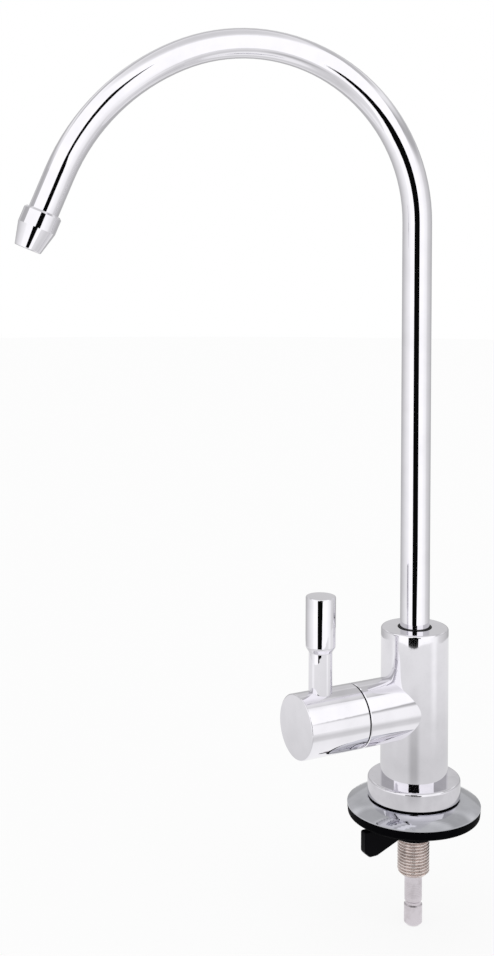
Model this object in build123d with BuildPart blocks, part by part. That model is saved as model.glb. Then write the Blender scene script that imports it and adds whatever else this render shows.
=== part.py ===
from build123d import *
import os
from math import cos, radians, sin

# Single-feed swan neck filter tap with a quarter-turn side valve.
# Millimetres, +Z up. The origin is on the fixing axis, on the underside of the deck gasket.
# The spout lies in the XZ plane and points along -X.

os.makedirs("parts", exist_ok=True)

# Clearances
running_gap = 0.05
slip_gap = 0.02
free_gap = 0.3
face_gap = 0.05
disc_gap = 0.02
disc_side_gap = 0.15

# Deck gasket, escutcheon and base ring, from the deck up
gasket_thickness = 3.3
gasket_inset = 0.4
gasket_draft = 0.7
gasket_edge_radius = 0.9
gasket_hole_diameter = 12.6
escutcheon_diameter = 46.4
escutcheon_rise = 2.6
escutcheon_sheet = 0.8
escutcheon_rim_height = 0.4
escutcheon_crown = 0.35
escutcheon_flat_margin = 0.3
ring_seal_thickness = 0.7
ring_seal_width = 3.4
ring_seal_setback = 0.25
base_ring_diameter = 32.3
base_ring_height = 6.5
base_ring_edge_radius = 0.9
base_ring_foot_chamfer = 0.4

# Body column, its foot and the valve branch
body_diameter = 23.5
body_top_radius = 0.8
foot_diameter = 16.0
foot_setback = 0.3
branch_diameter = 21.5
branch_rise = 25.0
branch_length = 24.8
branch_angle = 16.0
branch_mouth_chamfer = 0.25

# Threaded shank and inlet stem
shank_diameter = 11.11
shank_pitch = 1.0583
shank_hang = 20.7
shank_chamfer = 1.0
shank_engagement = 15.3
shank_bore_diameter = 4.4
stem_diameter = 6.35
stem_waist_diameter = 6.1
stem_groove_diameter = 5.5
stem_bore_diameter = 3.8
stem_length = 18.0
stem_grip_length = 7.0
stem_groove_width = 1.6
stem_chamfer = 0.9
stem_engagement = 6.0

# Waterway in the body
inlet_channel_diameter = 4.0
seat_channel_diameter = 3.5
channel_overrun = 2.4
seat_distance = 3.0
chamber_step = 1.0
chamber_roof = 2.5
plenum_height = 1.5
outlet_channel_diameter = 2.6
outlet_overrun = 2.0

# Valve cartridge, measured along the branch and from the hub's wall inwards
hub_wall = 1.15
collar_lap = 0.7
collar_thickness = 0.9
hexagon_thickness = 1.2
nose_clearance = 1.0
nose_wall = 1.6
nose_setback = 0.4
nose_floor = 1.9
seat_seal_thickness = 1.6
seat_seal_width = 0.85
disc_thickness = 2.5
disc_port_inner_radius = 1.3
disc_port_rim = 0.95
disc_port_angle = 70.0
disc_lobe_angle = 88.0
drive_tongue_width = 2.4
drive_tongue_height = 0.9
disc_lug_width = 2.0
disc_lug_height = 0.9
window_width = 6.0
cartridge_ring_width = 1.6
cartridge_ring_depth = 1.4
cartridge_land = 1.2
spindle_flange_thickness = 1.7
spindle_diameter = 6.8
spindle_square = 5.9
spindle_tail = 3.5
spindle_ring_width = 1.8
spindle_ring_depth = 1.0
spindle_ring_distance = 4.0
circlip_thickness = 0.7
circlip_depth = 0.6
circlip_reach = 1.1
circlip_mouth_angle = 70.0

# Handle hub and lever
hub_gap = 0.5
hub_length = 22.8
hub_edge_radius = 0.4
hub_cup_margin = 0.8
lever_setback = 9.5
lever_neck_diameter = 8.0
lever_neck_length = 15.9
lever_grip_diameter = 10.2
lever_grip_length = 15.3
lever_taper_length = 1.5
lever_seat_depth = 0.85
lever_edge_radius = 0.5
lever_stud_diameter = 5.0

# Spout tube
spout_tube_diameter = 10.3
spout_tube_wall = 1.0
spout_straight = 141.0
bend_radius = 60.6
bend_angle = 113.3
far_bend_radius = 75.1
far_bend_angle = 44.1
arm_run = 13.5

# Nozzle at the tip of the spout
nozzle_wall = 1.33
nozzle_taper = 1.95
nozzle_shoulder = 0.7
nozzle_band = 5.1
nozzle_cone = 7.6
nozzle_socket_depth = 6.5
nozzle_lip_radius = 0.4

# Swivel joint at the foot of the spout
spigot_wall = 0.78
spigot_bore_diameter = 6.4
spigot_setback = 0.6
tube_engagement = 5.1
spout_ring_width = 2.0
spout_ring_depth = 1.2
spout_ring_spacing = 3.2
spout_ring_foot = 1.1
retainer_thickness = 1.0
retainer_depth = 0.7
retainer_reach = 0.8
retainer_land = 1.3
retainer_mouth_angle = 60.0
bush_rise = 0.5
bush_edge_radius = 0.2

# Lock washer and wing nut under the deck
washer_rest_turns = 2
washer_stop_gap = 0.0834
washer_thickness = 0.8
washer_band = 1.65
washer_tooth_length = 1.7
washer_teeth = 12
washer_tooth_share = 0.6
nut_wall = 1.7
nut_hub_height = 5.9
wing_span = 42.2
wing_thickness = 3.0
wing_depth = 8.7
wing_edge_height = 5.6
wing_toe_width = 5.6
wing_corner_radius = 2.6
wing_angle = 16.0
nut_edge_radius = 0.5

# Radii in the branch, from the hub's wall inwards
hub_radius = branch_diameter / 2
cup_radius = hub_radius - hub_wall
collar_radius = cup_radius - free_gap
mouth_radius = collar_radius - collar_lap
thread_radius = mouth_radius - running_gap
chamber_radius = mouth_radius - chamber_step
nose_radius = chamber_radius - nose_clearance
nose_bore = nose_radius - nose_wall
disc_radius = nose_bore - disc_side_gap
disc_port_outer_radius = disc_radius - disc_port_rim
spindle_radius = spindle_diameter / 2

# Radii in the swivel joint, from the spout tube outwards
tube_radius = spout_tube_diameter / 2
tube_seat = tube_radius + slip_gap
spigot_radius = tube_seat + spigot_wall
socket_radius = spigot_radius + running_gap
shank_radius = shank_diameter / 2

# Heights of the stack
gasket_top = gasket_thickness
escutcheon_top = gasket_top + escutcheon_rise
ring_foot = escutcheon_top + ring_seal_thickness
body_seat = ring_foot + base_ring_height
foot_bottom = ring_foot + foot_setback
shank_top = foot_bottom + shank_engagement
shank_socket_top = shank_top + free_gap
valve_height = body_seat + branch_rise
socket_floor = valve_height + chamber_radius + chamber_roof
spigot_foot = socket_floor + plenum_height
ring_feet = [spigot_foot + spout_ring_foot + spout_ring_spacing * place for place in range(2)]
retainer_foot = ring_feet[-1] + spout_ring_spacing
tube_foot = retainer_foot + retainer_thickness + retainer_land
spigot_top = tube_foot + tube_engagement
body_top = spigot_top + spigot_setback
spout_rise = body_top + spout_straight

# Places along the valve
nose_end = seat_distance + nose_setback
fixed_disc_start = seat_distance + seat_seal_thickness
moving_disc_start = fixed_disc_start + disc_thickness + disc_gap
flange_start = moving_disc_start + disc_thickness + disc_gap
flange_end = flange_start + spindle_flange_thickness
nose_bore_end = flange_end + face_gap
chamber_end = nose_bore_end + nose_floor
collar_end = branch_length + collar_thickness
head_end = collar_end + hexagon_thickness
ring_groove_end = branch_length - cartridge_land
ring_groove_start = ring_groove_end - cartridge_ring_width
circlip_start = head_end + face_gap
square_start = circlip_start + circlip_thickness + face_gap
hub_start = branch_length + hub_gap
hub_end = hub_start + hub_length
cup_floor = square_start + hub_cup_margin
lever_distance = hub_end - lever_setback
spindle_end = lever_distance + spindle_tail
spindle_ring_start = flange_end + spindle_ring_distance
spindle_ring_end = spindle_ring_start + spindle_ring_width

# Directions and planes of the valve
branch_direction = Vector(-cos(radians(branch_angle)), -sin(radians(branch_angle)), 0)
branch_side = branch_direction.cross(Vector(0, 0, 1))
valve_centre = Vector(0, 0, valve_height)
valve_axis = Axis(valve_centre, branch_direction)
valve_profile = Plane(origin=valve_centre, x_dir=branch_direction, z_dir=branch_side)


def valve_section(distance):
    """Plane across the valve's axis at a distance from the body's axis, with its X up."""
    return Plane(origin=valve_centre + branch_direction * distance, x_dir=(0, 0, 1), z_dir=branch_direction)


def turn(outline, plane, axis, mode=Mode.ADD):
    """Turn a closed outline of straight lines about an axis that lies in its plane."""
    with BuildSketch(plane) as profile:
        with BuildLine():
            Polyline(*outline, close=True)
        make_face()
    revolve(profile.sketch, axis=axis, mode=mode)


def band(inner, outer, low, high):
    """Outline of a rectangle between two radii and two places along an axis, as (along, radius)."""
    return (low, inner), (high, inner), (high, outer), (low, outer)


def upright_band(inner, outer, low, high):
    """The same rectangle for a part on the Z axis, as (radius, height)."""
    return (inner, low), (outer, low), (outer, high), (inner, high)


def split_ring(plane, inner_diameter, outer_diameter, thickness, mouth_angle):
    """A flat spring ring with a gap in it."""
    half = radians(mouth_angle / 2)
    mouth_depth = outer_diameter * cos(half)
    mouth_width = outer_diameter * sin(half)
    with BuildSketch(plane) as ring_shape:
        Circle(outer_diameter / 2)
        Circle(inner_diameter / 2, mode=Mode.SUBTRACT)
        with BuildLine():
            Polyline((0, 0), (mouth_depth, mouth_width), (mouth_depth, -mouth_width), close=True)
        make_face(mode=Mode.SUBTRACT)
    extrude(ring_shape.sketch, amount=thickness)


# Deck gasket: a flat rubber ring with a rounded lower edge
gasket_crown = escutcheon_diameter / 2 - gasket_inset
gasket_foot = gasket_crown - gasket_draft
gasket_base = gasket_foot - gasket_edge_radius
with BuildPart() as deck_gasket:
    with BuildSketch(Plane.XZ):
        with BuildLine():
            hole_wall = Line((gasket_hole_diameter / 2, gasket_top), (gasket_hole_diameter / 2, 0))
            underside = Line(hole_wall @ 1, (gasket_base, 0))
            rounded = RadiusArc(underside @ 1, (gasket_foot, gasket_edge_radius), -gasket_edge_radius)
            side = Line(rounded @ 1, (gasket_crown, gasket_top))
            Line(side @ 1, hole_wall @ 0)
        make_face()
    revolve(axis=Axis.Z)
deck_gasket.part.label = "deck_gasket"
export_step(deck_gasket.part, "parts/deck_gasket.step")

# Escutcheon: a pressed sheet cover, flat under the base ring and bowed down to its rim
rim = escutcheon_diameter / 2
flat_edge = base_ring_diameter / 2 + escutcheon_flat_margin
rim_top = gasket_top + escutcheon_rim_height
crown_radius = (flat_edge + rim) / 2
crown_height = (escutcheon_top + rim_top) / 2 + escutcheon_crown
with BuildPart() as escutcheon:
    with BuildSketch(Plane.XZ):
        with BuildLine():
            hole = Line(
                (shank_radius + free_gap, escutcheon_top - escutcheon_sheet),
                (shank_radius + free_gap, escutcheon_top),
            )
            flat = Line(hole @ 1, (flat_edge, escutcheon_top))
            bow = ThreePointArc(flat @ 1, (crown_radius, crown_height), (rim, rim_top))
            rim_edge = Line(bow @ 1, (rim, gasket_top))
            rim_foot = Line(rim_edge @ 1, (rim - escutcheon_sheet, gasket_top))
            inner_bow = ThreePointArc(
                rim_foot @ 1,
                (crown_radius - escutcheon_sheet / 2, crown_height - escutcheon_sheet),
                (flat_edge - escutcheon_sheet / 2, escutcheon_top - escutcheon_sheet),
            )
            Line(inner_bow @ 1, hole @ 0)
        make_face()
    revolve(axis=Axis.Z)
escutcheon.part.label = "escutcheon"
export_step(escutcheon.part, "parts/escutcheon.step")

# Seal between the escutcheon and the base ring
seal_outer = base_ring_diameter / 2 - ring_seal_setback
with BuildPart() as ring_seal:
    turn(upright_band(seal_outer - ring_seal_width, seal_outer, escutcheon_top, ring_foot), Plane.XZ, Axis.Z)
ring_seal.part.label = "ring_seal"
export_step(ring_seal.part, "parts/ring_seal.step")

# Base ring: a turned collar that the body's column stands on
with BuildPart() as base_ring:
    with BuildSketch(Plane.XY.offset(ring_foot)):
        Circle(base_ring_diameter / 2)
        Circle(foot_diameter / 2 + running_gap, mode=Mode.SUBTRACT)
    extrude(amount=base_ring_height)
    rims = base_ring.edges().filter_by(GeomType.CIRCLE).sort_by(SortBy.RADIUS)[-2:]
    fillet(rims.sort_by(Axis.Z)[-1], base_ring_edge_radius)
    lower_rim = base_ring.edges().filter_by(GeomType.CIRCLE).group_by(Axis.Z)[0].sort_by(SortBy.RADIUS)[-1]
    chamfer(lower_rim, base_ring_foot_chamfer)
base_ring.part.label = "base_ring"
export_step(base_ring.part, "parts/base_ring.step")

# Body: column, foot and valve branch in one forging, bored for the waterway
outlet_offset = socket_radius - outlet_channel_diameter / 2 - free_gap
outlet_top = branch_direction * outlet_offset + Vector(0, 0, socket_floor)
with BuildPart() as faucet_body:
    with BuildSketch(Plane.XY.offset(body_seat)):
        Circle(body_diameter / 2)
    extrude(amount=body_top - body_seat)
    fillet(faucet_body.edges().sort_by(Axis.Z)[-1], body_top_radius)
    with BuildSketch(valve_section(0)):
        Circle(hub_radius)
    extrude(amount=branch_length)
    mouth_rim = faucet_body.edges().filter_by(GeomType.CIRCLE).sort_by(valve_axis)[-1]
    chamfer(mouth_rim, branch_mouth_chamfer)
    with BuildSketch(Plane.XY.offset(foot_bottom)):
        Circle(foot_diameter / 2)
    extrude(amount=body_seat - foot_bottom)
    # Socket for the shank and the channel up to the valve
    with BuildSketch(Plane.XY.offset(foot_bottom)):
        Circle(shank_radius + slip_gap)
    extrude(amount=shank_socket_top - foot_bottom, mode=Mode.SUBTRACT)
    with BuildSketch(Plane.XY.offset(shank_socket_top)):
        Circle(inlet_channel_diameter / 2)
    extrude(amount=valve_height + channel_overrun - shank_socket_top, mode=Mode.SUBTRACT)
    # Channel to the seat, chamber and threaded mouth of the branch
    with BuildSketch(valve_section(0)):
        Circle(seat_channel_diameter / 2)
    extrude(amount=seat_distance, mode=Mode.SUBTRACT)
    with BuildSketch(valve_section(seat_distance)):
        Circle(chamber_radius)
    extrude(amount=branch_length - seat_distance, mode=Mode.SUBTRACT)
    with BuildSketch(valve_section(chamber_end)):
        Circle(mouth_radius)
    extrude(amount=branch_length - chamber_end, mode=Mode.SUBTRACT)
    # Socket for the spout, its retainer groove and the channel down to the chamber
    with BuildSketch(Plane.XY.offset(socket_floor)):
        Circle(socket_radius)
    extrude(amount=body_top - socket_floor, mode=Mode.SUBTRACT)
    turn(
        upright_band(
            spigot_radius,
            socket_radius + retainer_reach + disc_side_gap,
            retainer_foot - face_gap,
            retainer_foot + retainer_thickness + face_gap,
        ),
        Plane.XZ,
        Axis.Z,
        mode=Mode.SUBTRACT,
    )
    with BuildSketch(Plane(origin=outlet_top, x_dir=(1, 0, 0), z_dir=(0, 0, -1))):
        Circle(outlet_channel_diameter / 2)
    extrude(amount=chamber_roof + outlet_overrun, mode=Mode.SUBTRACT)
faucet_body.part.label = "faucet_body"
export_step(faucet_body.part, "parts/faucet_body.step")

# Threaded shank, drawn at its major diameter
shank_end = -shank_hang
with BuildPart() as threaded_shank:
    with BuildSketch(Plane.XY.offset(shank_end)):
        Circle(shank_radius)
    extrude(amount=shank_top - shank_end)
    chamfer(threaded_shank.edges().filter_by(GeomType.CIRCLE), shank_chamfer)
    with BuildSketch(Plane.XY.offset(shank_end)):
        Circle(shank_bore_diameter / 2)
    extrude(amount=shank_top - shank_end, mode=Mode.SUBTRACT)
    with BuildSketch(Plane.XY.offset(shank_end)):
        Circle(stem_waist_diameter / 2 + slip_gap)
    extrude(amount=stem_engagement, mode=Mode.SUBTRACT)
threaded_shank.part.label = "threaded_shank"
export_step(threaded_shank.part, "parts/threaded_shank.step")

# Inlet stem: a quarter-inch tail with a clip groove, for a push-fit connector
stem_end = shank_end - stem_length
grip_top = stem_end + stem_grip_length
groove_top = grip_top + stem_groove_width
stem_top = shank_end + stem_engagement
with BuildPart() as inlet_stem:
    turn(
        (
            (stem_bore_diameter / 2, stem_end),
            (stem_diameter / 2 - stem_chamfer, stem_end),
            (stem_diameter / 2, stem_end + stem_chamfer),
            (stem_diameter / 2, grip_top),
            (stem_groove_diameter / 2, grip_top + stem_groove_width / 4),
            (stem_groove_diameter / 2, groove_top - stem_groove_width / 4),
            (stem_waist_diameter / 2, groove_top),
            (stem_waist_diameter / 2, stem_top),
            (stem_bore_diameter / 2, stem_top),
        ),
        Plane.XZ,
        Axis.Z,
    )
inlet_stem.part.label = "inlet_stem"
export_step(inlet_stem.part, "parts/inlet_stem.step")

# Cartridge body: a brass nose for the discs, a threaded neck, a collar and a hexagon
with BuildPart() as cartridge_body:
    turn(band(0, nose_radius, nose_end, chamber_end + free_gap), valve_profile, valve_axis)
    turn(band(0, thread_radius, chamber_end + free_gap, branch_length), valve_profile, valve_axis)
    turn(band(0, collar_radius, branch_length, collar_end), valve_profile, valve_axis)
    with BuildSketch(valve_section(collar_end)):
        RegularPolygon(collar_radius, 6)
    extrude(amount=hexagon_thickness)
    turn(
        band(thread_radius - cartridge_ring_depth, hub_radius, ring_groove_start, ring_groove_end),
        valve_profile,
        valve_axis,
        mode=Mode.SUBTRACT,
    )
    turn(band(0, nose_bore, nose_end, nose_bore_end), valve_profile, valve_axis, mode=Mode.SUBTRACT)
    turn(
        band(0, spindle_radius + running_gap, nose_bore_end, head_end),
        valve_profile,
        valve_axis,
        mode=Mode.SUBTRACT,
    )
    # Side windows level with the moving disc, and slots for the fixed disc's lugs
    with BuildSketch(valve_section(moving_disc_start - disc_gap)):
        Rectangle(window_width, 2 * nose_radius + free_gap)
    extrude(amount=disc_thickness + 2 * disc_gap, mode=Mode.SUBTRACT)
    with BuildSketch(valve_section(nose_end)):
        Rectangle(disc_lug_width + 2 * running_gap, 2 * (disc_radius + disc_lug_height + running_gap))
    extrude(amount=moving_disc_start - nose_end, mode=Mode.SUBTRACT)
cartridge_body.part.label = "cartridge_body"
export_step(cartridge_body.part, "parts/cartridge_body.step")

# Rubber seal between the seat and the fixed disc
with BuildPart() as seat_seal:
    turn(
        band(disc_radius - seat_seal_width, disc_radius, seat_distance, fixed_disc_start),
        valve_profile,
        valve_axis,
    )
seat_seal.part.label = "seat_seal"
export_step(seat_seal.part, "parts/seat_seal.step")


def cut_sectors(plane, inner_radius, outer_radius, angle, depth):
    """Cut two opposite openings between two radii, centred on the plane's X axis."""
    half = radians(angle / 2)
    with BuildSketch(plane) as openings:
        for side in (1, -1):
            with BuildLine():
                inner_arc = ThreePointArc(
                    (side * inner_radius * cos(half), inner_radius * sin(half)),
                    (side * inner_radius, 0),
                    (side * inner_radius * cos(half), -inner_radius * sin(half)),
                )
                outer_arc = ThreePointArc(
                    (side * outer_radius * cos(half), outer_radius * sin(half)),
                    (side * outer_radius, 0),
                    (side * outer_radius * cos(half), -outer_radius * sin(half)),
                )
                Line(inner_arc @ 0, outer_arc @ 0)
                Line(inner_arc @ 1, outer_arc @ 1)
            make_face()
    extrude(openings.sketch, amount=depth, mode=Mode.SUBTRACT)


# Fixed ceramic disc with two ports and two lugs
with BuildPart() as fixed_disc:
    with BuildSketch(valve_section(fixed_disc_start)):
        Circle(disc_radius)
        Rectangle(disc_lug_width, 2 * (disc_radius + disc_lug_height))
    extrude(amount=disc_thickness)
    cut_sectors(
        valve_section(fixed_disc_start),
        disc_port_inner_radius,
        disc_port_outer_radius,
        disc_port_angle,
        disc_thickness,
    )
fixed_disc.part.label = "fixed_disc"
export_step(fixed_disc.part, "parts/fixed_disc.step")

# Moving ceramic disc: two lobes that cover the ports when the lever is upright
with BuildPart() as moving_disc:
    with BuildSketch(valve_section(moving_disc_start)):
        Circle(disc_radius)
    extrude(amount=disc_thickness)
    cut_sectors(
        valve_section(moving_disc_start).rotated((0, 0, 90)),
        disc_port_inner_radius,
        2 * disc_radius,
        disc_lobe_angle,
        disc_thickness,
    )
    with BuildSketch(valve_section(moving_disc_start + disc_thickness - drive_tongue_height)):
        Rectangle(2 * disc_radius, drive_tongue_width + 2 * running_gap)
    extrude(amount=drive_tongue_height, mode=Mode.SUBTRACT)
moving_disc.part.label = "moving_disc"
export_step(moving_disc.part, "parts/moving_disc.step")

# Spindle: flange with a drive tongue, stem with a ring groove, square tail
with BuildPart() as spindle:
    turn(band(0, disc_radius, flange_start, flange_end), valve_profile, valve_axis)
    turn(band(0, spindle_radius, flange_end, square_start), valve_profile, valve_axis)
    turn(
        band(spindle_radius - spindle_ring_depth, disc_radius, spindle_ring_start, spindle_ring_end),
        valve_profile,
        valve_axis,
        mode=Mode.SUBTRACT,
    )
    turn(
        band(spindle_radius - circlip_depth, disc_radius, circlip_start, square_start),
        valve_profile,
        valve_axis,
        mode=Mode.SUBTRACT,
    )
    with BuildSketch(valve_section(square_start)):
        Rectangle(spindle_square, spindle_square)
        with BuildSketch(mode=Mode.INTERSECT):
            Circle(spindle_radius)
    extrude(amount=spindle_end - square_start)
    with BuildSketch(valve_section(flange_start - drive_tongue_height + disc_gap)):
        Rectangle(2 * disc_radius, drive_tongue_width)
        with BuildSketch(mode=Mode.INTERSECT):
            Circle(disc_radius)
    extrude(amount=drive_tongue_height - disc_gap)
spindle.part.label = "spindle"
export_step(spindle.part, "parts/spindle.step")

# O-rings of the valve, drawn as they lie squeezed in their grooves
with BuildPart() as cartridge_o_ring:
    turn(
        band(
            thread_radius - cartridge_ring_depth,
            thread_radius,
            ring_groove_start + face_gap,
            ring_groove_end - face_gap,
        ),
        valve_profile,
        valve_axis,
    )
    fillet(cartridge_o_ring.edges().filter_by(GeomType.CIRCLE), cartridge_ring_depth / 4)
cartridge_o_ring.part.label = "cartridge_o_ring"
export_step(cartridge_o_ring.part, "parts/cartridge_o_ring.step")

with BuildPart() as spindle_o_ring:
    turn(
        band(
            spindle_radius - spindle_ring_depth,
            spindle_radius,
            spindle_ring_start + face_gap,
            spindle_ring_end - face_gap,
        ),
        valve_profile,
        valve_axis,
    )
    fillet(spindle_o_ring.edges().filter_by(GeomType.CIRCLE), spindle_ring_depth / 4)
spindle_o_ring.part.label = "spindle_o_ring"
export_step(spindle_o_ring.part, "parts/spindle_o_ring.step")

# Spring clip that holds the spindle in the cartridge
with BuildPart() as spindle_circlip:
    split_ring(
        valve_section(circlip_start),
        spindle_diameter - 2 * circlip_depth + 2 * slip_gap,
        spindle_diameter + 2 * circlip_reach,
        circlip_thickness,
        circlip_mouth_angle,
    )
spindle_circlip.part.label = "spindle_circlip"
export_step(spindle_circlip.part, "parts/spindle_circlip.step")

# Dark glide ring in the seam between the branch and the hub
with BuildPart() as hub_glide_ring:
    turn(
        band(cup_radius, hub_radius - branch_mouth_chamfer, branch_length + face_gap, hub_start),
        valve_profile,
        valve_axis,
    )
hub_glide_ring.part.label = "hub_glide_ring"
export_step(hub_glide_ring.part, "parts/hub_glide_ring.step")

# Handle hub: a closed cap over the cartridge head, with a square socket for the spindle
lever_seat = valve_height + hub_radius - lever_seat_depth
stud_foot = valve_height + spindle_square / 2
lever_foot = branch_direction * lever_distance
with BuildPart() as handle_hub:
    with BuildSketch(valve_section(hub_start)):
        Circle(hub_radius)
    extrude(amount=hub_length)
    hub_rims = handle_hub.edges().filter_by(GeomType.CIRCLE).sort_by(valve_axis)
    fillet(hub_rims[-1], hub_edge_radius)
    chamfer(handle_hub.edges().filter_by(GeomType.CIRCLE).sort_by(valve_axis)[0], branch_mouth_chamfer)
    with BuildSketch(valve_section(hub_start)):
        Circle(cup_radius)
    extrude(amount=cup_floor - hub_start, mode=Mode.SUBTRACT)
    with BuildSketch(valve_section(hub_start)):
        Rectangle(spindle_square + 2 * running_gap, spindle_square + 2 * running_gap)
    extrude(amount=spindle_end + free_gap - hub_start, mode=Mode.SUBTRACT)
    # Spot face for the lever's neck and the hole for its stud
    with BuildSketch(Plane(origin=lever_foot + Vector(0, 0, lever_seat))):
        Circle(lever_neck_diameter / 2 + slip_gap)
    extrude(amount=2 * lever_seat_depth, mode=Mode.SUBTRACT)
    with BuildSketch(Plane(origin=lever_foot + Vector(0, 0, stud_foot))):
        Circle(lever_stud_diameter / 2 + slip_gap)
    extrude(amount=lever_seat - stud_foot, mode=Mode.SUBTRACT)
handle_hub.part.label = "handle_hub"
export_step(handle_hub.part, "parts/handle_hub.step")

# Lever: a turned pin with a thicker grip, screwed down onto the spindle's square
neck_top = lever_seat + lever_neck_length
grip_start = neck_top + lever_taper_length
lever_top = grip_start + lever_grip_length
lever_profile = Plane(origin=lever_foot, x_dir=(1, 0, 0), z_dir=(0, -1, 0))
lever_axis = Axis(lever_foot, (0, 0, 1))
with BuildPart() as lever:
    turn(
        (
            (0, stud_foot),
            (lever_stud_diameter / 2, stud_foot),
            (lever_stud_diameter / 2, lever_seat),
            (lever_neck_diameter / 2, lever_seat),
            (lever_neck_diameter / 2, neck_top),
            (lever_grip_diameter / 2, grip_start),
            (lever_grip_diameter / 2, lever_top),
            (0, lever_top),
        ),
        lever_profile,
        lever_axis,
    )
    fillet(lever.edges().filter_by(GeomType.CIRCLE).sort_by(Axis.Z)[-1], lever_edge_radius)
lever.part.label = "lever"
export_step(lever.part, "parts/lever.step")

# Spout tube: riser, main bend, wider far bend and a short straight run to the nozzle
with BuildPart() as spout_tube:
    with BuildLine(Plane.XZ) as spout_path:
        riser = Line((0, tube_foot), (0, spout_rise))
        main_bend = JernArc(riser @ 1, riser % 1, bend_radius, bend_angle)
        far_bend = JernArc(main_bend @ 1, main_bend % 1, far_bend_radius, far_bend_angle)
        arm = Line(far_bend @ 1, (far_bend @ 1) + (far_bend % 1) * (arm_run + nozzle_socket_depth))
    with BuildSketch(Plane.XY.offset(tube_foot)):
        Circle(tube_radius)
        Circle(tube_radius - spout_tube_wall, mode=Mode.SUBTRACT)
    sweep(path=spout_path.line)
spout_tube.part.label = "spout_tube"
export_step(spout_tube.part, "parts/spout_tube.step")

# Nozzle: a shouldered band and a cone over the end of the tube
arm_end = spout_path.line @ 1
arm_direction = spout_path.line % 1
nozzle_seam = arm_end - arm_direction * nozzle_socket_depth
nozzle_profile = Plane(origin=nozzle_seam, x_dir=arm_direction, z_dir=(0, 1, 0))
nozzle_axis = Axis(nozzle_seam, arm_direction)
band_end = nozzle_shoulder + nozzle_band
nozzle_end = band_end + nozzle_cone
nozzle_radius = tube_seat + nozzle_wall
lip_radius = nozzle_radius - nozzle_taper
with BuildPart() as spout_tip:
    turn(
        (
            (0, tube_seat),
            (0, nozzle_radius - nozzle_shoulder),
            (nozzle_shoulder, nozzle_radius),
            (band_end, nozzle_radius),
            (nozzle_end, lip_radius),
            (nozzle_end, lip_radius - nozzle_wall),
            (nozzle_socket_depth, lip_radius - nozzle_wall),
            (nozzle_socket_depth, tube_seat),
        ),
        nozzle_profile,
        nozzle_axis,
    )
    lip = spout_tip.edges().filter_by(GeomType.CIRCLE).sort_by(nozzle_axis)[-2:].sort_by(SortBy.RADIUS)[-1]
    fillet(lip, nozzle_lip_radius)
spout_tip.part.label = "spout_tip"
export_step(spout_tip.part, "parts/spout_tip.step")

# Spigot: the turned foot of the spout that swivels in the body's socket
with BuildPart() as spout_spigot:
    turn(upright_band(spigot_bore_diameter / 2, spigot_radius, spigot_foot, spigot_top), Plane.XZ, Axis.Z)
    with BuildSketch(Plane.XY.offset(tube_foot)):
        Circle(tube_seat)
    extrude(amount=tube_engagement, mode=Mode.SUBTRACT)
    for ring_foot_height in ring_feet:
        turn(
            upright_band(
                spigot_radius - spout_ring_depth,
                socket_radius,
                ring_foot_height,
                ring_foot_height + spout_ring_width,
            ),
            Plane.XZ,
            Axis.Z,
            mode=Mode.SUBTRACT,
        )
    turn(
        upright_band(
            spigot_radius - retainer_depth,
            socket_radius,
            retainer_foot,
            retainer_foot + retainer_thickness,
        ),
        Plane.XZ,
        Axis.Z,
        mode=Mode.SUBTRACT,
    )
spout_spigot.part.label = "spout_spigot"
export_step(spout_spigot.part, "parts/spout_spigot.step")


def spigot_ring(foot_height):
    """One O-ring of the spigot, as it lies squeezed in its groove."""
    turn(
        upright_band(
            spigot_radius - spout_ring_depth,
            spigot_radius,
            foot_height + face_gap,
            foot_height + spout_ring_width - face_gap,
        ),
        Plane.XZ,
        Axis.Z,
    )


with BuildPart() as spigot_o_ring_lower:
    spigot_ring(ring_feet[0])
    fillet(spigot_o_ring_lower.edges().filter_by(GeomType.CIRCLE), spout_ring_depth / 4)
spigot_o_ring_lower.part.label = "spigot_o_ring_lower"
export_step(spigot_o_ring_lower.part, "parts/spigot_o_ring_lower.step")

with BuildPart() as spigot_o_ring_upper:
    spigot_ring(ring_feet[1])
    fillet(spigot_o_ring_upper.edges().filter_by(GeomType.CIRCLE), spout_ring_depth / 4)
spigot_o_ring_upper.part.label = "spigot_o_ring_upper"
export_step(spigot_o_ring_upper.part, "parts/spigot_o_ring_upper.step")

# Spring ring that keeps the spigot in the body
with BuildPart() as spout_retainer:
    split_ring(
        Plane.XY.offset(retainer_foot + face_gap),
        2 * (spigot_radius - retainer_depth + slip_gap),
        2 * (socket_radius + retainer_reach),
        retainer_thickness - 2 * face_gap,
        retainer_mouth_angle,
    )
spout_retainer.part.label = "spout_retainer"
export_step(spout_retainer.part, "parts/spout_retainer.step")

# Dark bush on the spigot's top, which closes the gap between the tube and the body
with BuildPart() as spout_bush:
    turn(upright_band(tube_seat, spigot_radius, spigot_top, body_top + bush_rise), Plane.XZ, Axis.Z)
    fillet(spout_bush.edges().filter_by(GeomType.CIRCLE).group_by(Axis.Z)[-1], bush_edge_radius)
spout_bush.part.label = "spout_bush"
export_step(spout_bush.part, "parts/spout_bush.step")

# Toothed lock washer that rides on the nut, drawn two turns of the thread below the gasket
washer_top = -washer_rest_turns * shank_pitch - washer_stop_gap
washer_bottom = washer_top - washer_thickness
washer_bore = shank_radius + free_gap
washer_root = washer_bore + washer_band
washer_tip = washer_root + washer_tooth_length
notch_width = (1 - washer_tooth_share) * radians(360 / washer_teeth) * washer_tip
with BuildPart() as lock_washer:
    with BuildSketch(Plane.XY.offset(washer_bottom)):
        Circle(washer_tip)
        Circle(washer_bore, mode=Mode.SUBTRACT)
        with PolarLocations(washer_tip, washer_teeth):
            Rectangle(2 * washer_tooth_length, notch_width, mode=Mode.SUBTRACT)
    extrude(amount=washer_thickness)
lock_washer.part.label = "lock_washer"
export_step(lock_washer.part, "parts/lock_washer.step")

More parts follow.
